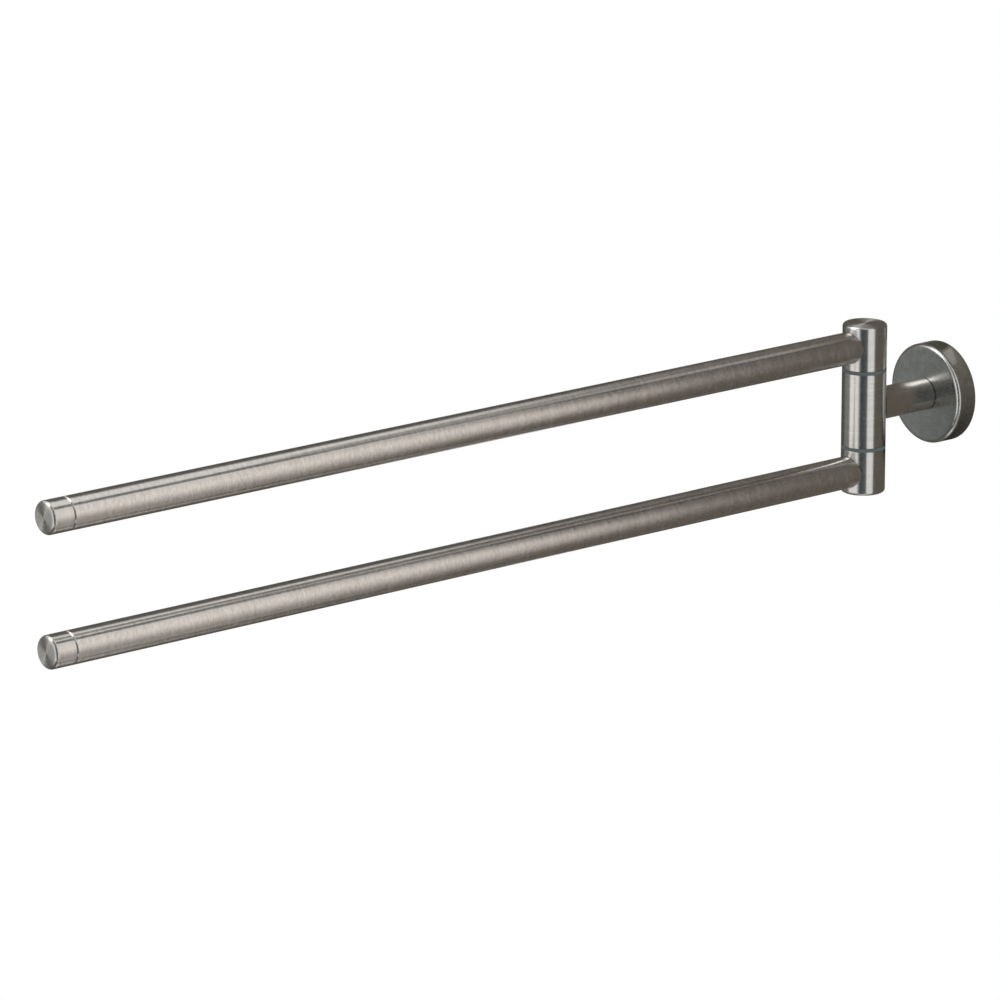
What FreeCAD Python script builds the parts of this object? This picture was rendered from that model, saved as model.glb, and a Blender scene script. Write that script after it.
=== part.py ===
import FreeCAD, Part
import math
import os

# Double rail for a wall, in brushed stainless steel. Two straight rails swing, each by itself, on
# one upright hub, and a short stem carries the hub clear of a round wall rosette.
# The origin is the centre of the rosette's back, on the wall. +Z is up, the wall is the plane y = 0,
# and at rest both rails reach straight out along -Y. All lengths are in millimetres.

# Hub, in three segments one above the other
hub_standoff = 52.0             # wall to the hub's axis
hub_diameter = 22.0
hub_body_height = 37.5          # fixed middle segment
end_hub_height = 22.5           # each turning segment
hub_end_radius = 1.6            # rounded edge at the hub's top and bottom
edge_break = 0.2                # chamfer where two segments meet

# Rails
rail_reach = 496.0              # hub's axis to the end of a rail
rail_diameter = 16.0
rail_wall = 1.2
end_cap_length = 12.0           # the part of the cap that shows
end_cap_radius = 2.0            # rounded edge round the cap's face
cap_spigot_length = 12.0        # the part of the cap inside the tube
seam_chamfer = 0.5              # V-groove between tube and cap
rail_plug_length = 20.0         # threaded insert in the tube's hub end
rail_plug_setback = 0.5         # insert to the hub's surface
rail_stud_diameter = 6.0
rail_stud_reach = 16.0          # stud beyond the hub's surface
stud_end_wall = 0.9             # metal between a stud's end and the pivot's counterbore

# Pivot that clamps the three hub segments together
pivot_diameter = 6.0
pivot_thread_length = 10.0      # screwed into the upper segment
pivot_head_diameter = 11.0
pivot_head_height = 3.0
pivot_socket = 4.0              # hexagon across flats
pivot_socket_depth = 1.8
pivot_head_room = 0.5           # head to the bottom cap
counterbore_gap = 0.5           # round the pivot's head
blind_hole_spare = 1.0          # hole beyond the pivot's end
thrust_washer_thickness = 0.6
disc_spring_thickness = 0.4
disc_spring_cone = 0.3          # rise of each cone
washer_bore_gap = 0.3           # washers and springs round the pivot
bottom_cap_thickness = 1.5

# Plastic bushes
bush_wall = 1.2
bush_flange_thickness = 1.5     # the ring that shows between two segments
bush_sleeve_length = 12.0
sleeve_end_gap = 0.1            # lower sleeve to the flange above it, which doesn't turn with it

# Stem
stem_diameter = 16.0
stem_wall = 2.0
stem_spigot_length = 3.0        # boss on the rosette that centres the stem
stem_bolt_diameter = 6.0
stem_bolt_head_diameter = 10.0
stem_bolt_head_height = 3.5
stem_bolt_socket = 4.0          # hexagon across flats
stem_bolt_socket_depth = 2.0
stem_bolt_end_gap = 0.5         # bolt's end to the hub's bore
stem_bolt_hole_gap = 0.3        # rosette and washer round the bolt
stem_washer_diameter = 11.0
stem_washer_thickness = 1.0

# Rosette and the plate behind it
rosette_diameter = 50.0
rosette_height = 11.5           # wall to the front face
rosette_wall = 2.0              # rim
rosette_face_thickness = 2.5
rosette_edge_radius = 2.2
plate_thickness = 6.0
plate_gap = 0.15                # plate inside the rosette's rim
plate_groove_depth = 1.5        # V-groove round the plate's edge
plate_centre_gap = 1.0          # hole in the plate round the stem bolt's head
screw_edge_distance = 6.85      # plate's edge to a wall screw's axis
screw_hole_diameter = 4.5
screw_head_diameter = 8.0       # countersink
grub_diameter = 4.0
grub_recess = 0.3               # outer end below the rim's surface
grub_tip_radius = 0.3
grub_socket = 2.0               # hexagon across flats
grub_socket_depth = 0.8

# Fits, each a gap on the radius
running_gap = 0.05
seat_gap = 0.02
thread_gap = 0.03

# Sizes that follow from the ones above
hub_radius = hub_diameter / 2
rail_radius = rail_diameter / 2
rail_bore_radius = rail_radius - rail_wall
rail_tip = hub_standoff + rail_reach
rail_seam = rail_tip - end_cap_length
bush_bore_radius = pivot_diameter / 2 + running_gap
bush_radius = bush_bore_radius + bush_wall
hub_bore_radius = bush_radius + seat_gap
body_top = hub_body_height / 2
end_hub_base = body_top + bush_flange_thickness
hub_top = end_hub_base + end_hub_height
rail_height = end_hub_base + end_hub_height / 2
counterbore_radius = pivot_head_diameter / 2 + counterbore_gap
washer_bore_radius = pivot_diameter / 2 + washer_bore_gap
disc_spring_height = disc_spring_thickness + disc_spring_cone
pivot_head_base = -hub_top + bottom_cap_thickness + pivot_head_room
pivot_head_top = pivot_head_base + pivot_head_height
spring_middle = pivot_head_top + disc_spring_height
counterbore_floor = spring_middle + disc_spring_height + thrust_washer_thickness
pivot_end = end_hub_base + pivot_thread_length
stud_inner_end = hub_standoff + counterbore_radius + stud_end_wall
stud_outer_end = hub_standoff + hub_radius + rail_stud_reach
stem_bore_radius = stem_diameter / 2 - stem_wall
rosette_radius = rosette_diameter / 2
rosette_bore_radius = rosette_radius - rosette_wall
rosette_inner_face = rosette_height - rosette_face_thickness
plate_radius = rosette_bore_radius - plate_gap
screw_offset = plate_radius - screw_edge_distance
grub_depth = plate_thickness / 2

UP = FreeCAD.Vector(0, 0, 1)
OUT = FreeCAD.Vector(0, -1, 0)
SAME_POINT = 1e-4


# Turned stock: solids on the hub's axis and solids square to the wall

def upright(radius, low, high):
    """Cylinder on the hub's axis, between two heights."""
    return Part.makeCylinder(radius, high - low, FreeCAD.Vector(0, -hub_standoff, low), UP)


def outward(radius, near, far, height=0.0):
    """Cylinder square to the wall, between two distances from it."""
    return Part.makeCylinder(radius, far - near, FreeCAD.Vector(0, -near, height), OUT)


def hub_point(height):
    return FreeCAD.Vector(0, -hub_standoff, height)


def wall_point(distance, height=0.0):
    return FreeCAD.Vector(0, -distance, height)


def end_edges(solid, centre):
    """The circular edges of a turned solid that are centred on a point."""
    return [edge for edge in solid.Edges if edge.CenterOfMass.distanceToPoint(centre) < SAME_POINT]


def round_end(solid, centre, radius):
    return solid.makeFillet(radius, end_edges(solid, centre))


def chamfer_end(solid, centre, size):
    return solid.makeChamfer(size, end_edges(solid, centre))


def revolved(points, centre, axis):
    """Ring with the outline through these points, turned about an axis."""
    outline = Part.makePolygon(points + points[:1])
    return Part.Face(outline).revolve(centre, axis, 360)


def hexagon(across_flats, mouth, direction, depth):
    """Hexagonal socket that starts at its mouth and runs along a direction."""
    corner = across_flats / math.sqrt(3)
    turns = [math.radians(60 * side) for side in range(6)]
    points = [FreeCAD.Vector(corner * math.cos(turn), corner * math.sin(turn), 0) for turn in turns]
    prism = Part.Face(Part.makePolygon(points + points[:1])).extrude(UP * depth)
    prism.Placement = FreeCAD.Placement(mouth, FreeCAD.Rotation(UP, direction))
    return prism


def saddle(setback):
    """The hub's outside, as the space that a tube's end is cut to."""
    return upright(hub_radius + setback, -hub_top, hub_top)


# Wall side: plate, rosette and grub screw

def wall_plate():
    """Round plate, screwed to the wall, with a V-groove round its edge for the grub screw."""
    plate = outward(plate_radius, 0, plate_thickness)
    plate = plate.cut(outward(stem_bolt_head_diameter / 2 + plate_centre_gap, 0, plate_thickness))
    groove_mouth = plate_groove_depth + plate_gap
    groove = [FreeCAD.Vector(plate_radius - plate_groove_depth, -grub_depth, 0),
              FreeCAD.Vector(plate_radius + plate_gap, -grub_depth + groove_mouth, 0),
              FreeCAD.Vector(plate_radius + plate_gap, -grub_depth - groove_mouth, 0)]
    plate = plate.cut(revolved(groove, wall_point(0), OUT))
    hole_radius = screw_hole_diameter / 2
    head_radius = screw_head_diameter / 2
    sink_depth = head_radius - hole_radius
    for height in (-screw_offset, screw_offset):
        plate = plate.cut(outward(hole_radius, 0, plate_thickness, height))
        sink_start = wall_point(plate_thickness - sink_depth, height)
        plate = plate.cut(Part.makeCone(hole_radius, head_radius, sink_depth, sink_start, OUT))
    return plate


def rosette():
    """Turned cup that covers the plate, with a boss that centres the stem."""
    cup = outward(rosette_radius, 0, rosette_height)
    cup = round_end(cup, wall_point(rosette_height), rosette_edge_radius)
    boss_end = rosette_height + stem_spigot_length
    cup = cup.fuse(outward(stem_bore_radius - seat_gap, rosette_inner_face, boss_end))
    cup = cup.cut(outward(rosette_bore_radius, 0, rosette_inner_face))
    cup = cup.cut(outward(stem_bolt_diameter / 2 + stem_bolt_hole_gap, rosette_inner_face, boss_end))
    hole_radius = grub_diameter / 2 + thread_gap
    return cup.cut(Part.makeCylinder(hole_radius, rosette_radius, wall_point(grub_depth), -UP))


def rosette_grub_screw():
    """Cone-point screw in the rim's underside. Its point sits in the plate's groove."""
    radius = grub_diameter / 2
    outer_end = rosette_radius - grub_recess
    cone_point = plate_radius - plate_groove_depth + math.sqrt(2) * seat_gap
    cone_base = cone_point + radius
    cone_height = radius - grub_tip_radius
    body = Part.makeCylinder(radius, outer_end - cone_base, wall_point(grub_depth, -outer_end), UP)
    point = Part.makeCone(radius, grub_tip_radius, cone_height, wall_point(grub_depth, -cone_base), UP)
    socket = hexagon(grub_socket, wall_point(grub_depth, -outer_end), UP, grub_socket_depth)
    return body.fuse(point).cut(socket)


# Stem: a tube that a bolt pulls against the hub

def stem_tube():
    """Tube from the rosette's face, cut to the hub's round at its outer end."""
    tube = outward(stem_diameter / 2, rosette_height, hub_standoff)
    tube = tube.cut(outward(stem_bore_radius, rosette_height, hub_standoff))
    return tube.cut(saddle(seat_gap))


def stem_bolt():
    """Bolt from inside the rosette, through the stem, into the hub's wall."""
    head_far = rosette_inner_face - stem_washer_thickness
    head_near = head_far - stem_bolt_head_height
    end = hub_standoff - hub_bore_radius - stem_bolt_end_gap
    head = outward(stem_bolt_head_diameter / 2, head_near, head_far)
    head = head.cut(hexagon(stem_bolt_socket, wall_point(head_near), OUT, stem_bolt_socket_depth))
    return head.fuse(outward(stem_bolt_diameter / 2, head_far, end))


def stem_bolt_washer():
    near = rosette_inner_face - stem_washer_thickness
    ring = outward(stem_washer_diameter / 2, near, rosette_inner_face)
    return ring.cut(outward(stem_bolt_diameter / 2 + stem_bolt_hole_gap, near, rosette_inner_face))


# Hub: fixed middle segment with a flanged bush in each end

def hub_body():
    body = upright(hub_radius, -body_top, body_top)
    for height in (-body_top, body_top):
        body = chamfer_end(body, hub_point(height), edge_break)
    body = body.cut(upright(hub_bore_radius, -body_top, body_top))
    bolt_hole = outward(stem_bolt_diameter / 2 + thread_gap, hub_standoff - hub_radius, hub_standoff)
    return body.cut(bolt_hole)


def flanged_bush(side):
    """Plastic bush. Its flange is the ring that shows, and its sleeve guides the pivot."""
    inner, face, outer = body_top - bush_sleeve_length, body_top, end_hub_base
    sleeve = upright(bush_radius, *sorted((side * inner, side * face)))
    flange = upright(hub_radius, *sorted((side * face, side * outer)))
    bore = upright(bush_bore_radius, *sorted((side * inner, side * outer)))
    return sleeve.fuse(flange).cut(bore)


# Turning hub segments, the pivot through them and its spring washers

def end_hub(side):
    """Turning segment, rounded at its outer end, with the threaded hole for its rail's stud."""
    segment = upright(hub_radius, *sorted((side * end_hub_base, side * hub_top)))
    segment = round_end(segment, hub_point(side * hub_top), hub_end_radius)
    segment = chamfer_end(segment, hub_point(side * end_hub_base), edge_break)
    stud_radius = rail_stud_diameter / 2 + thread_gap
    stud_hole = outward(stud_radius, stud_inner_end, hub_standoff + hub_radius, side * rail_height)
    return segment.cut(stud_hole)


def upper_hub():
    pivot_hole = upright(pivot_diameter / 2 + thread_gap, end_hub_base, pivot_end + blind_hole_spare)
    return end_hub(1).cut(pivot_hole)


def lower_hub():
    segment = end_hub(-1).cut(upright(hub_bore_radius, counterbore_floor, -end_hub_base))
    return segment.cut(upright(counterbore_radius, -hub_top, counterbore_floor))


def lower_sleeve():
    """Plain plastic sleeve between the pivot and the lower segment."""
    sleeve_top = -end_hub_base - sleeve_end_gap
    sleeve = upright(bush_radius, counterbore_floor, sleeve_top)
    return sleeve.cut(upright(bush_bore_radius, counterbore_floor, sleeve_top))


def pivot_bolt():
    """Shoulder bolt, put in from below and locked in the upper segment."""
    head = upright(pivot_head_diameter / 2, pivot_head_base, pivot_head_top)
    head = head.cut(hexagon(pivot_socket, hub_point(pivot_head_base), UP, pivot_socket_depth))
    return head.fuse(upright(pivot_diameter / 2, pivot_head_top, pivot_end))


def thrust_washer():
    low = counterbore_floor - thrust_washer_thickness
    ring = upright(pivot_head_diameter / 2, low, counterbore_floor)
    return ring.cut(upright(washer_bore_radius, low, counterbore_floor))


def disc_spring(side):
    """Conical spring washer. Two of them meet at their bores, one opening up and one down."""
    rim_radius = pivot_head_diameter / 2
    corners = [(washer_bore_radius, 0), (washer_bore_radius, disc_spring_thickness),
               (rim_radius, disc_spring_height), (rim_radius, disc_spring_cone)]
    outline = []
    for radius, rise in corners:
        outline.append(FreeCAD.Vector(radius, -hub_standoff, spring_middle + side * rise))
    return revolved(outline, hub_point(0), UP)


def bottom_cap():
    """Push-in cap that hides the pivot's head."""
    return upright(counterbore_radius - seat_gap, -hub_top, -hub_top + bottom_cap_thickness)


# Rails: tube, threaded insert, stud and end cap, alike above and below

def rail_tube(height):
    tube = outward(rail_radius, hub_standoff, rail_seam, height)
    tube = chamfer_end(tube, wall_point(rail_seam, height), seam_chamfer)
    tube = tube.cut(outward(rail_bore_radius, hub_standoff, rail_seam, height))
    return tube.cut(saddle(seat_gap))


def rail_plug(height):
    """Insert fixed in the tube's hub end, threaded for the stud."""
    plug_end = hub_standoff + hub_radius + rail_plug_setback + rail_plug_length
    plug = outward(rail_bore_radius - seat_gap, hub_standoff, plug_end, height)
    plug = plug.cut(outward(rail_stud_diameter / 2 + thread_gap, hub_standoff, plug_end, height))
    return plug.cut(saddle(rail_plug_setback))


def rail_stud(height):
    """Headless stud that draws the tube's end against the hub."""
    return outward(rail_stud_diameter / 2, stud_inner_end, stud_outer_end, height)


def end_cap(height):
    """Turned cap with a flat face, pushed into the tube's free end."""
    cap = outward(rail_radius, rail_seam, rail_tip, height)
    cap = round_end(cap, wall_point(rail_tip, height), end_cap_radius)
    cap = chamfer_end(cap, wall_point(rail_seam, height), seam_chamfer)
    spigot = outward(rail_bore_radius - seat_gap, rail_seam - cap_spigot_length, rail_seam, height)
    return cap.fuse(spigot)


pieces = {
    "wall_plate": wall_plate(),
    "rosette": rosette(),
    "rosette_grub_screw": rosette_grub_screw(),
    "stem_tube": stem_tube(),
    "stem_bolt": stem_bolt(),
    "stem_bolt_washer": stem_bolt_washer(),
    "hub_body": hub_body(),
    "upper_bush": flanged_bush(1),
    "lower_bush": flanged_bush(-1),
    "upper_hub": upper_hub(),
    "lower_hub": lower_hub(),
    "lower_sleeve": lower_sleeve(),
    "pivot_bolt": pivot_bolt(),
    "thrust_washer": thrust_washer(),
    "upper_disc_spring": disc_spring(1),
    "lower_disc_spring": disc_spring(-1),
    "bottom_cap": bottom_cap(),
}
for place, height in (("upper", rail_height), ("lower", -rail_height)):
    pieces[place + "_rail"] = rail_tube(height)
    pieces[place + "_rail_plug"] = rail_plug(height)
    pieces[place + "_rail_stud"] = rail_stud(height)
    pieces[place + "_end_cap"] = end_cap(height)

os.makedirs("parts", exist_ok=True)
for name, solid in pieces.items():
    solid.exportStep(os.path.join("parts", name + ".step"))
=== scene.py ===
import math

import bmesh
import bpy
from mathutils import Matrix, Vector


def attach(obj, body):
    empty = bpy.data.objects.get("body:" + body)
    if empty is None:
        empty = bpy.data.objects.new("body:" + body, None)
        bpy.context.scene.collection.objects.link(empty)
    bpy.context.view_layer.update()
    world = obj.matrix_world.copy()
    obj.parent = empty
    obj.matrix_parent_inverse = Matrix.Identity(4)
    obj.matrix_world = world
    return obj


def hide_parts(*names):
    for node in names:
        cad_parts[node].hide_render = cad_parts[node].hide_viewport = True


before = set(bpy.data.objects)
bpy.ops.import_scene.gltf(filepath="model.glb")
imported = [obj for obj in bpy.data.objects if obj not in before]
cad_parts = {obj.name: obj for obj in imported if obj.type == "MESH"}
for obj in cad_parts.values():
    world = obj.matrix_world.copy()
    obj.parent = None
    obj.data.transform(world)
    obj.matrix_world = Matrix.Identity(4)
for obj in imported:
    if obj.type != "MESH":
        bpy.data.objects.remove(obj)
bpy.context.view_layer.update()       # in metres: the wall is y = 0, +Z is up, and the rails reach out along -Y


# Wall plate and the hidden screws
# The plate is screwed to the wall, and a cone-point screw in the rosette's rim holds the rosette on
# it. The bolt behind the face pulls the stem on. All are plain bright steel, as they left the lathe.
mm = 0.001


class Value:
    """A socket in a finish's node tree. Sums and products of values add Math nodes."""

    def __init__(self, tree, socket):
        self.tree = tree
        self.socket = socket

    def beside(self, name):
        """Another output of the same node."""
        return Value(self.tree, self.socket.node.outputs[name])

    def work(self, operation, left, right):
        """Adds one Math node, with its left and its right term."""
        sum_node = self.tree.nodes.new("ShaderNodeMath")
        sum_node.operation = operation
        for place, term in zip(sum_node.inputs, (left, right)):
            if isinstance(term, Value):
                self.tree.links.new(term.socket, place)
            else:
                place.default_value = term
        return Value(self.tree, sum_node.outputs[0])

    def __add__(self, other):
        return self.work("ADD", self, other)

    def __radd__(self, other):
        return self.work("ADD", other, self)

    def __sub__(self, other):
        return self.work("SUBTRACT", self, other)

    def __rsub__(self, other):
        return self.work("SUBTRACT", other, self)

    def __mul__(self, other):
        return self.work("MULTIPLY", self, other)

    def __rmul__(self, other):
        return self.work("MULTIPLY", other, self)

    def __pow__(self, other):
        return self.work("POWER", self, other)

    def __rpow__(self, other):
        return self.work("POWER", other, self)


class Finish:
    """A material, or the room's world, that is put together node by node."""

    def __init__(self, name, kept_in=bpy.data.materials):
        self.block = kept_in.new(name)
        self.block.use_nodes = True
        self.tree = self.block.node_tree
        self.tree.nodes.clear()

    def node(self, kind, settings, sockets, output=0):
        """Adds one node, with its settings first and then its sockets, and gives one of its outputs."""
        added = self.tree.nodes.new(kind)
        for name, setting in settings.items():
            setattr(added, name, setting)
        for name, value in sockets.items():
            if isinstance(value, Value):
                self.tree.links.new(value.socket, added.inputs[name])
            else:
                added.inputs[name].default_value = value
        return Value(self.tree, added.outputs[output]) if added.outputs else None

    def between(self, share, low, high):
        """A colour that goes from one to another with a share from 0 to 1."""
        factor, first, second, result = 0, 6, 7, 2      # the places of a Mix node's colour sockets
        return self.node("ShaderNodeMix", {"data_type": "RGBA"}, {
            factor: share, first: (*low, 1), second: (*high, 1)}, result)


plain_steel = Finish("plain_steel")
spot = plain_steel.node("ShaderNodeTexCoord", {}, {}, "Object")
mottle = plain_steel.node("ShaderNodeTexNoise", {}, {
    "Vector": spot, "Scale": 700.0, "Detail": 4.0, "Roughness": 0.6})
tone = plain_steel.between(mottle, (0.45, 0.45, 0.44), (0.55, 0.55, 0.54))
relief = plain_steel.node("ShaderNodeBump", {}, {"Strength": 0.3, "Distance": 0.01 * mm, "Height": mottle})
metal = plain_steel.node("ShaderNodeBsdfPrincipled", {}, {
    "Base Color": tone, "Metallic": 1.0, "Roughness": 0.26 + 0.18 * mottle, "Normal": relief})
plain_steel.node("ShaderNodeOutputMaterial", {}, {"Surface": metal})


def dress(finish, *names):
    """Gives CAD pieces that keep their shape their finish."""
    for name in names:
        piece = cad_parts[name]
        if not piece.material_slots:
            piece.data.materials.append(None)
        for slot in piece.material_slots:
            slot.material = finish.block


dress(plain_steel, "wall_plate", "rosette_grub_screw", "stem_bolt", "stem_bolt_washer")


# Rosette
# A cup turned from stainless bar, 50 mm across, that covers the plate. Its front edge is rounded, its
# mottled face keeps faint rings of the last cut, and a boss in the middle centres the stem.
sharp_edge = math.radians(28)


def rounded(radius, height, fillet):
    """Outline of a rounded edge from a side to the face above it, with a point just before and after."""
    steps = 10
    lead = 0.12 * mm
    points = [(radius, height - fillet - lead)]
    for step in range(steps + 1):
        turn = math.pi / 2 * step / steps
        points.append((radius - fillet + fillet * math.cos(turn), height - fillet + fillet * math.sin(turn)))
    points.append((radius - fillet - lead, height))
    return points


def put(name, data):
    """Puts a mesh, a lamp or a camera in the scene."""
    thing = bpy.data.objects.new(name, data)
    bpy.context.scene.collection.objects.link(thing)
    return thing


def spun(name, outline, place, finish):
    """Spins a closed outline of radius and height about local Z. A height may follow the way across."""
    sides = 144
    same_point = 1e-7
    shape = bmesh.new()
    rings = []
    for side in range(sides):
        angle = 2 * math.pi * side / sides
        ring = []
        for radius, height in outline:
            across = radius * math.cos(angle)
            rise = height(across) if callable(height) else height
            ring.append(shape.verts.new((across, radius * math.sin(angle), rise)))
        rings.append(ring)
    for ring, following in zip(rings, rings[1:] + rings[:1]):
        for low in range(len(outline)):
            high = (low + 1) % len(outline)
            on_axis = outline[low][0] == 0 and outline[high][0] == 0
            if not on_axis:
                shape.faces.new((ring[low], following[low], following[high], ring[high]))
    bmesh.ops.remove_doubles(shape, verts=shape.verts, dist=same_point)
    bmesh.ops.recalc_face_normals(shape, faces=shape.faces)
    mesh = bpy.data.meshes.new(name)
    shape.to_mesh(mesh)
    shape.free()
    piece = put(name, mesh)
    piece.matrix_world = place
    mesh.shade_smooth()
    mesh.set_sharp_from_angle(angle=sharp_edge)
    mesh.materials.append(finish.block)
    return piece


def brushed(name, dark, light, side_roughness, face_roughness, anisotropy, lines_per_mm, ring_depth,
            axis_y=0.0, strokes_per_m=45.0, line_depth=2.0, cloud_depth=0.6, clouds_per_m=150.0,
            painted_face_shade=0.0):
    """Stainless steel with fine lines round its turning axis, which are rings on a flat face."""
    band_strokes_per_m = 20.0
    bands_per_m = 380.0
    rings_per_m = 1300.0
    fine_share = 0.6
    ring_tone = 0.6
    ring_roughness = 0.12
    line_roughness = 0.06
    cloud_roughness = 0.06
    round_the_axis = 0.25
    steel = Finish(name)
    spot = steel.node("ShaderNodeTexCoord", {}, {}, "Object")
    x = steel.node("ShaderNodeSeparateXYZ", {}, {"Vector": spot}, "X")
    y = x.beside("Y") - axis_y
    radius = (x * x + y * y) ** 0.5
    path = x.beside("Z") + radius
    fine_at = steel.node("ShaderNodeCombineXYZ", {}, {
        "X": x * strokes_per_m, "Y": y * strokes_per_m, "Z": path * (lines_per_mm / mm)})
    fine = steel.node("ShaderNodeTexNoise", {}, {
        "Vector": fine_at, "Scale": 1.0, "Detail": 2.0, "Roughness": 0.6})
    broad_at = steel.node("ShaderNodeCombineXYZ", {}, {
        "X": x * band_strokes_per_m, "Y": y * band_strokes_per_m, "Z": path * bands_per_m})
    broad = steel.node("ShaderNodeTexNoise", {}, {
        "Vector": broad_at, "Scale": 1.0, "Detail": 3.0, "Roughness": 0.55})
    cloud = steel.node("ShaderNodeTexNoise", {}, {
        "Vector": spot, "Scale": clouds_per_m, "Detail": 3.0, "Roughness": 0.6})
    facing = steel.node("ShaderNodeTexCoord", {}, {}, "Normal")
    along = steel.node("ShaderNodeSeparateXYZ", {}, {"Vector": facing}, "Z")
    flat = (along * along) ** 4         # 1 on a flat face, 0 on a side
    rings = steel.node("ShaderNodeTexNoise", {"noise_dimensions": "1D"}, {
        "W": radius * rings_per_m, "Scale": 1.0, "Detail": 2.0})
    rings = ring_depth * flat * (rings - 0.5)
    lines = fine_share * fine + (1 - fine_share) * broad - 0.5
    # The last term paints every flat face darker than the sides: a painted shade, not a colour of the face's
    # own.
    shade = 0.5 + line_depth * lines + cloud_depth * (cloud - 0.5) + ring_tone * rings - painted_face_shade * flat
    rough = side_roughness + (face_roughness - side_roughness) * flat
    rough = rough + line_roughness * lines + cloud_roughness * (cloud - 0.5) + ring_roughness * rings
    relief = steel.node("ShaderNodeBump", {}, {
        "Strength": 0.25, "Distance": 0.01 * mm, "Height": fine + rings})
    metal = steel.node("ShaderNodeBsdfPrincipled", {}, {
        "Base Color": steel.between(shade, dark, light), "Metallic": 1.0, "Roughness": rough,
        "Anisotropic": anisotropy, "Anisotropic Rotation": round_the_axis, "Normal": relief})
    steel.node("ShaderNodeOutputMaterial", {}, {"Surface": metal})
    return steel


outward = Matrix.Rotation(math.radians(90), 4, "X")     # local Z away from the wall, local Y up
rosette_radius = 25 * mm
rosette_front = 11.5 * mm
rosette_fillet = 2.2 * mm
back_chamfer = 0.3 * mm
cup_radius = 23 * mm
cup_floor = 9 * mm
boss_radius = 5.98 * mm
boss_end = 14.5 * mm
bolt_hole_radius = 3.3 * mm
grub_hole_radius = 2.03 * mm
grub_height = 3 * mm
above_grub_hole = 6 * mm

# The rosette's face is painted darker than its rim: a painted shade.
rosette_steel = brushed(
    "rosette_steel", dark=(0.50, 0.505, 0.49), light=(0.71, 0.715, 0.70),
    side_roughness=0.26, face_roughness=0.28, anisotropy=0.2, lines_per_mm=1.6, ring_depth=0.15,
    line_depth=0.9, cloud_depth=1.7, clouds_per_m=240.0, painted_face_shade=0.45)
outline = [(rosette_radius, back_chamfer), (rosette_radius, above_grub_hole)]
outline += rounded(rosette_radius, rosette_front, rosette_fillet)
outline += [(boss_radius, rosette_front), (boss_radius, boss_end), (bolt_hole_radius, boss_end)]
outline += [(bolt_hole_radius, cup_floor), (cup_radius, cup_floor), (cup_radius, 0)]
outline += [(rosette_radius - back_chamfer, 0)]
rosette = spun("turned_rosette", outline, outward, rosette_steel)

drill_length = 6 * mm
drill_sides = 48
rim_middle = (rosette_radius + cup_radius) / 2
drill_mesh = bpy.data.meshes.new("drill")
drill_shape = bmesh.new()
bmesh.ops.create_cone(
    drill_shape, cap_ends=True, segments=drill_sides, radius1=grub_hole_radius, radius2=grub_hole_radius,
    depth=drill_length)
drill_shape.to_mesh(drill_mesh)
drill_shape.free()
drill = put("drill", drill_mesh)
drill.matrix_world = Matrix.Translation((0, -grub_height, -rim_middle))
cut = rosette.modifiers.new("grub_hole", "BOOLEAN")
cut.object = drill
cut.operation = "DIFFERENCE"
cut.solver = "EXACT"
drilled = bpy.data.meshes.new_from_object(rosette.evaluated_get(bpy.context.evaluated_depsgraph_get()))
rosette.modifiers.clear()
rosette.data = drilled
drilled.shade_smooth()
drilled.set_sharp_from_angle(angle=sharp_edge)
bpy.data.objects.remove(drill)
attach(rosette, "wall_mount")
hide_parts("rosette")


# Stem
# A short length of 16 mm stainless tube, square at the rosette's face and milled to the hub's round at
# the other end. The bolt inside pulls it on, and a fine shadow gap shows round each end.
hub_axis = -52 * mm
seat_radius = 11.02 * mm
stem_radius = 8 * mm
stem_bore = 6 * mm
stem_length = 40.5 * mm
joint_gap = 0.35 * mm
gap_depth = 1.0 * mm


def on_hub(gap):
    """Height above the hub's axis of a tube end that is milled to the hub's round."""
    return lambda across: math.sqrt(seat_radius ** 2 - across ** 2) + gap


stem_steel = brushed(
    "stem_steel", dark=(0.55, 0.53, 0.505), light=(0.65, 0.625, 0.595),
    side_roughness=0.2, face_roughness=0.2, anisotropy=0.6, lines_per_mm=1.2, ring_depth=0.5)
outline = [
    (stem_bore, on_hub(0)), (stem_radius - gap_depth, on_hub(0)),
    (stem_radius - gap_depth, on_hub(joint_gap)), (stem_radius, on_hub(joint_gap)),
    (stem_radius, stem_length - joint_gap), (stem_radius - gap_depth, stem_length - joint_gap),
    (stem_radius - gap_depth, stem_length), (stem_bore, stem_length)]
towards_wall = Matrix.Translation((0, hub_axis, 0)) @ Matrix.Rotation(math.radians(-90), 4, "X")
stem = spun("stem", outline, towards_wall, stem_steel)
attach(stem, "wall_mount")
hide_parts("stem_tube")


# Hub
# Three segments of 22 mm stainless bar, one above the other, brushed round their axis. The stem holds
# the middle one, and the outer two turn with their rails on a bolt that springs keep tight.
# The hub's flat ends are painted darker than its sides: a painted shade.
hub_steel = brushed(
    "hub_steel", dark=(0.57, 0.56, 0.545), light=(0.70, 0.685, 0.665),
    side_roughness=0.26, face_roughness=0.45, anisotropy=0.82, lines_per_mm=1.1, ring_depth=1.0,
    axis_y=hub_axis, painted_face_shade=0.3)
dress(hub_steel, "hub_body", "upper_hub", "lower_hub")
dress(plain_steel, "pivot_bolt", "thrust_washer", "upper_disc_spring", "lower_disc_spring")


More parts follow.
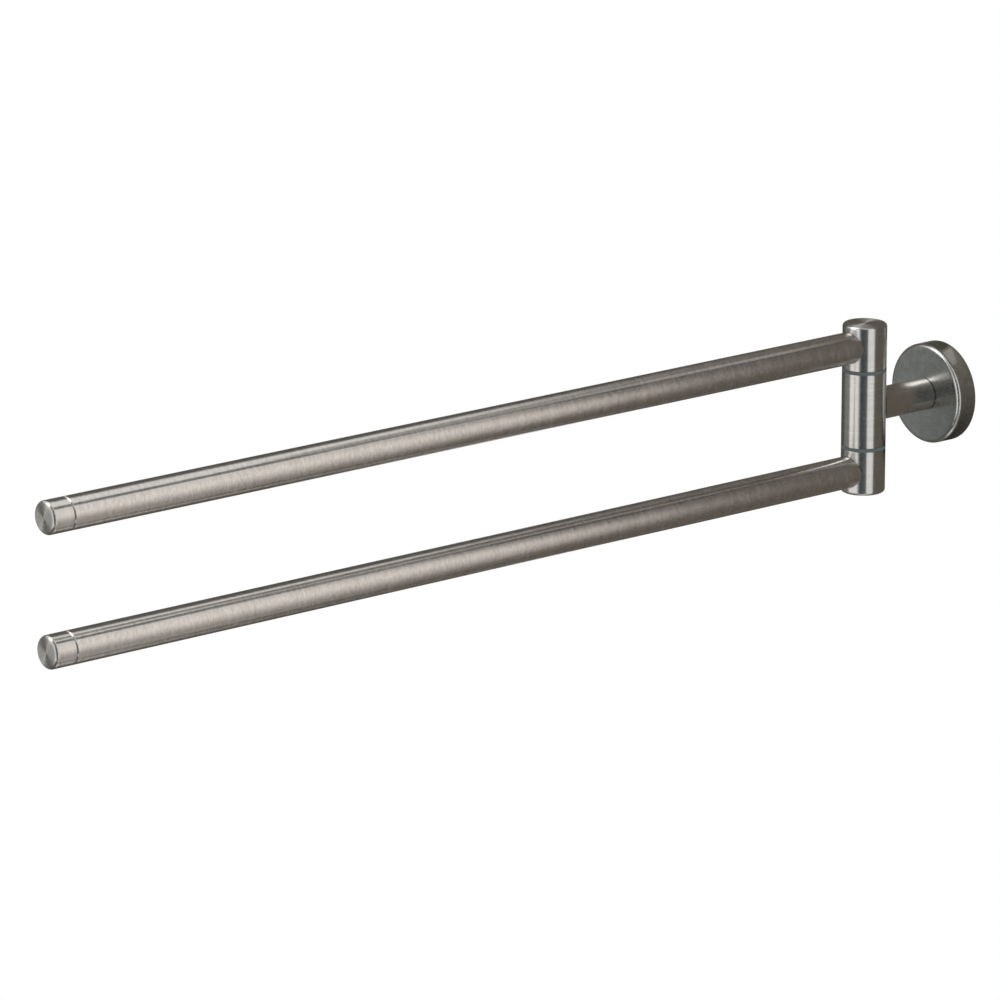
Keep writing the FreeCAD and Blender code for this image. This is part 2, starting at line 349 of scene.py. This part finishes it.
# Bushes
# Bearing plastic, moulded, blue-grey and matt. Only the thin flanges show, as two rings in the hub,
# and the same plastic makes the sleeve inside and the cap pushed into the hub's underside.
bush_plastic = Finish("bush_plastic")
spot = bush_plastic.node("ShaderNodeTexCoord", {}, {}, "Object")
grain = bush_plastic.node("ShaderNodeTexNoise", {}, {
    "Vector": spot, "Scale": 2500.0, "Detail": 3.0, "Roughness": 0.6})
cloud = bush_plastic.node("ShaderNodeTexNoise", {}, {"Vector": spot, "Scale": 180.0, "Detail": 2.0})
tone = bush_plastic.between(0.5 * grain + 0.5 * cloud, (0.085, 0.115, 0.118), (0.135, 0.17, 0.173))
relief = bush_plastic.node("ShaderNodeBump", {}, {"Strength": 0.4, "Distance": 0.02 * mm, "Height": grain})
plastic = bush_plastic.node("ShaderNodeBsdfPrincipled", {}, {
    "Base Color": tone, "Roughness": 0.5 + 0.15 * grain, "Normal": relief})
bush_plastic.node("ShaderNodeOutputMaterial", {}, {"Surface": plastic})
dress(bush_plastic, "upper_bush", "lower_bush", "lower_sleeve", "bottom_cap")


# Rails
# Two straight lengths of 16 mm stainless tube, brushed round their axis. A stud in a threaded plug draws
# the milled end on to the hub, where a fine shadow gap shows, and the other end has a fine chamfer.
rail_radius = 8 * mm
rail_bore = 6.8 * mm
rail_height = 31.5 * mm
rail_length = 484 * mm
past_hub = 14 * mm
seam_chamfer = 0.5 * mm
tube_steel = brushed(
    "tube_steel", dark=(0.50, 0.48, 0.455), light=(0.70, 0.675, 0.645),
    side_roughness=0.23, face_roughness=0.23, anisotropy=0.88, lines_per_mm=1.1, ring_depth=0.5,
    strokes_per_m=400.0)
for side, level in (("upper", rail_height), ("lower", -rail_height)):
    outline = [
        (rail_bore, on_hub(0)), (rail_radius - gap_depth, on_hub(0)),
        (rail_radius - gap_depth, on_hub(joint_gap)), (rail_radius, on_hub(joint_gap)),
        (rail_radius, past_hub), (rail_radius, rail_length - seam_chamfer),
        (rail_radius - seam_chamfer, rail_length), (rail_bore, rail_length)]
    from_hub = Matrix.Translation((0, hub_axis, level)) @ outward
    rail = spun(side + "_tube", outline, from_hub, tube_steel)
    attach(rail, side + "_arm")
    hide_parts(side + "_rail")
    dress(plain_steel, side + "_rail_plug", side + "_rail_stud")


# End caps
# Turned from 16 mm stainless bar, with a spigot that is glued into the tube. The edge round the face
# is rounded, the face shows the rings of the cut, and a V-groove marks the seam with the tube.
cap_length = 12 * mm
cap_fillet = 2.0 * mm
past_seam = 0.3 * mm
face_centre = 1.0 * mm
spigot_radius = 6.78 * mm
spigot_end = -12 * mm
# The caps' faces are painted darker than their sides: a painted shade.
cap_steel = brushed(
    "cap_steel", dark=(0.41, 0.40, 0.38), light=(0.80, 0.775, 0.74),
    side_roughness=0.23, face_roughness=0.5, anisotropy=0.88, lines_per_mm=0.8, ring_depth=1.2,
    line_depth=0.7, cloud_depth=0.2, painted_face_shade=0.4)
for side, level in (("upper", rail_height), ("lower", -rail_height)):
    outline = [
        (spigot_radius, spigot_end), (spigot_radius, 0), (rail_radius - seam_chamfer, 0),
        (rail_radius, seam_chamfer), (rail_radius, seam_chamfer + past_seam)]
    outline += rounded(rail_radius, cap_length, cap_fillet)
    outline += [(face_centre, cap_length), (0, cap_length), (0, spigot_end)]
    at_seam = Matrix.Translation((0, hub_axis - rail_length, level)) @ outward
    cap = spun(side + "_cap", outline, at_seam, cap_steel)
    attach(cap, side + "_arm")
    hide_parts(side + "_end_cap")


# Floor
# A plain pale floor, as far below as a rail of this kind hangs. It reads white to the camera and in
# the metal, and still takes the light and shade of the room.
floor_radius = 1.25
floor_sides = 96
floor_level = -1.1
floor_glow = 0.85


def in_view(finish):
    """1 for what the camera sees, straight or in the metal, and 0 for what only lights a surface."""
    ray = finish.node("ShaderNodeLightPath", {}, {}, "Is Camera Ray")
    rays = ray + ray.beside("Is Glossy Ray") + ray.beside("Is Transmission Ray")
    return finish.node("ShaderNodeClamp", {}, {"Value": rays})


floor_finish = Finish("pale_floor")
matt = floor_finish.node("ShaderNodeBsdfDiffuse", {}, {"Color": (0.9, 0.9, 0.9, 1)})
glow = floor_finish.node("ShaderNodeEmission", {}, {"Color": (1, 1, 1, 1), "Strength": 1.0})
pale = floor_finish.node("ShaderNodeMixShader", {}, {
    0: floor_glow * in_view(floor_finish), 1: matt, 2: glow})
floor_finish.node("ShaderNodeOutputMaterial", {}, {"Surface": pale})
floor_finish.block.cycles.emission_sampling = "NONE"
floor_mesh = bpy.data.meshes.new("floor")
floor_shape = bmesh.new()
bmesh.ops.create_circle(floor_shape, cap_ends=True, segments=floor_sides, radius=floor_radius)
floor_shape.to_mesh(floor_mesh)
floor_shape.free()
floor_mesh.materials.append(floor_finish.block)
floor = put("floor", floor_mesh)
floor.location = (0, 0, floor_level)


# Studio
# A white room with one soft lamp, and cards that only the metal sees: the dark board that the rail hangs
# on, dark cards to the left, by the camera, below and overhead, a bright one in front, a toned one right.
def card(name, corners, low, high=None, climb=1.0):
    """A flat card of one tone, or of one tone at its foot and another further up."""
    paint = Finish(name)
    tone = (*low, 1)
    if high:
        place = paint.node("ShaderNodeTexCoord", {}, {}, "Generated")
        up = paint.node("ShaderNodeSeparateXYZ", {}, {"Vector": place}, "Z")
        tone = paint.between(climb * up, low, high)
    glow = paint.node("ShaderNodeEmission", {}, {"Color": tone, "Strength": 1.0})
    paint.node("ShaderNodeOutputMaterial", {}, {"Surface": glow})
    paint.block.cycles.emission_sampling = "NONE"
    mesh = bpy.data.meshes.new(name)
    mesh.from_pydata(corners, [], [tuple(range(len(corners)))])
    mesh.materials.append(paint.block)
    board = put(name, mesh)
    board.visible_camera = False
    board.visible_diffuse = False
    board.visible_transmission = False
    board.visible_shadow = False


def sheet(foot, head):
    """Corners of a level or an upright rectangle, from two that are opposite."""
    (x, y, z), (far_x, far_y, top) = foot, head
    if z == top:
        return [foot, (far_x, y, z), head, (x, far_y, z)]
    return [foot, (far_x, far_y, z), head, (x, y, top)]


def arc(radius, start, end, steps, y):
    """Points on an arc about the rosette's axis, from one angle to another, with 0 straight up."""
    turns = [start + (end - start) * step / steps for step in range(steps + 1)]
    return [(radius * math.sin(turn), y, radius * math.cos(turn)) for turn in turns]


# the board behind the rosette, in two halves round a hole and a foot, with a collar and two patches on it
behind = 2 * mm
collar = 1 * mm
patch = 0.8 * mm
left_side = -0.75
board_edge = -0.2
board_foot = -0.9
board_head = 0.37
board_hole = 24 * mm
collar_inside = 26 * mm
collar_outside = 38 * mm
patch_head = 35 * mm
half_turn = math.pi
board_tone = (0.13, 0.115, 0.095)
for name, edge, turn in (("board_left", board_edge, -half_turn), ("board_right", 0.285, half_turn)):
    corners = [(0, behind, board_foot), (edge, behind, board_foot)]
    corners += [(edge, behind, board_head), (0, behind, board_head)]
    corners += arc(board_hole, 0, turn, 24, behind)
    card(name, corners, board_tone, (0.15, 0.135, 0.115))
card("board_foot", sheet((left_side, behind, board_foot), (board_edge, behind, -0.3)),
     board_tone, (0.14, 0.125, 0.105))
corners = arc(collar_inside, 0, 2 * half_turn, 32, collar) + arc(collar_outside, 2 * half_turn, 0, 32, collar)
card("board_collar", corners, (0.0, 0.0, 0.0), (0.22, 0.20, 0.175))
card("board_glint", sheet((6 * mm, patch, 26.5 * mm), (21 * mm, patch, patch_head)), (0.42, 0.39, 0.36))
card("board_shade", sheet((-16 * mm, patch, 25.5 * mm), (4 * mm, patch, patch_head)), (0.08, 0.08, 0.06))

# to the left
card("left_card", sheet((left_side, -1.4, -1.0), (left_side, -0.35, 0.4)),
     (0.19, 0.20, 0.195), (0.27, 0.28, 0.275))
card("left_back_card", sheet((left_side, -0.35, -1.0), (left_side, 0.25, 1.3)),
     (0.10, 0.095, 0.085), (0.12, 0.115, 0.105))
card("left_far_card", sheet((left_side, 0.25, 0.0), (left_side, 1.2, 1.3)), (0.11, 0.105, 0.095))

# by the camera
camera_tone = (0.045, 0.06, 0.06)
card("camera_card", sheet((1.12, -2.78, -1.09), (2.72, -1.27, 2.2)), camera_tone)
plan = ((0.5, -0.87), (0.88, -0.47), (2.72, -1.27), (1.36, -2.67))
card("camera_floor", [(x, y, -1.08) for x, y in plan], camera_tone)

# below
plan = ((left_side, -1.6), (0.6, -1.6), (0.6, -0.5), (-0.08, -0.5), (-0.08, 0.0), (left_side, 0.0))
card("floor_card", [(x, y, board_foot) for x, y in plan], (0.14, 0.13, 0.115))
card("side_floor", sheet((0.285, -1.0, -0.95), (1.3, 0.34, -0.95)), (0.55, 0.53, 0.5))

# overhead
card("overhead_strip", sheet((0.185, -0.25, 0.8), (0.48, 0.29, 0.8)), (0.05, 0.05, 0.045))
card("front_ceiling", sheet((-0.13, -1.95, 1.3), (1.46, -0.75, 1.3)), (0.10, 0.10, 0.095))
card("hub_strip", sheet((-0.002, -0.36, 0.12), (0.032, -0.02, 0.12)), (0.46, 0.45, 0.43))

# in front and to the right
card("front_card", sheet((-0.83, -1.5, -0.8), (0.4, -1.5, 1.0)), (1.3, 1.28, 1.26), (0.9, 0.89, 0.88))
card("right_card", sheet((0.30, 0.35, -1.09), (2.2, 0.35, 0.9)),
     (0.16, 0.145, 0.13), (1.12, 1.06, 1.0), climb=1.54)

lamp_place = Vector((-0.78, -1.86, 2.25))
lamp_aim = Vector((0, -0.28, 0))
lamp_width = 1.9
lamp_level = 2.4        # 1 is white
light = bpy.data.lights.new("front_lamp", "AREA")
light.shape = "DISK"
light.size = lamp_width
light.energy = lamp_level * math.pi * math.pi * lamp_width ** 2 / 4
lamp = put("front_lamp", light)
lamp.location = lamp_place
lamp.rotation_mode = "QUATERNION"
lamp.rotation_quaternion = (lamp_place - lamp_aim).to_track_quat("Z", "Y")

room_level = 0.75       # as a light, while what is seen of it is white
room = Finish("white_room", bpy.data.worlds)
sky = room.node("ShaderNodeBackground", {}, {
    "Color": (1, 1, 1, 1), "Strength": room_level + (1 - room_level) * in_view(room)})
room.node("ShaderNodeOutputWorld", {}, {"Surface": sky})
bpy.context.scene.world = room.block
bpy.context.scene.view_settings.view_transform = "Standard"


# Camera
# It stands to the right of the rails and a little above them, far off with a long lens, so that the
# tubes stay almost parallel in the picture.
azimuth = math.radians(50.65)
elevation = math.radians(15.568)
aim = Vector((0, -0.283486, -0.00668))
distance = 3.340937
back = Vector((
    math.sin(azimuth) * math.cos(elevation), -math.cos(azimuth) * math.cos(elevation), math.sin(elevation)))
lens = bpy.data.cameras.new("camera")
lens.sensor_width = 36
lens.lens = 254.6
lens.clip_end = 100
camera = put("camera", lens)
camera.location = aim + back * distance
camera.rotation_mode = "QUATERNION"
camera.rotation_quaternion = (-back).to_track_quat("-Z", "Y")
bpy.context.scene.camera = camera
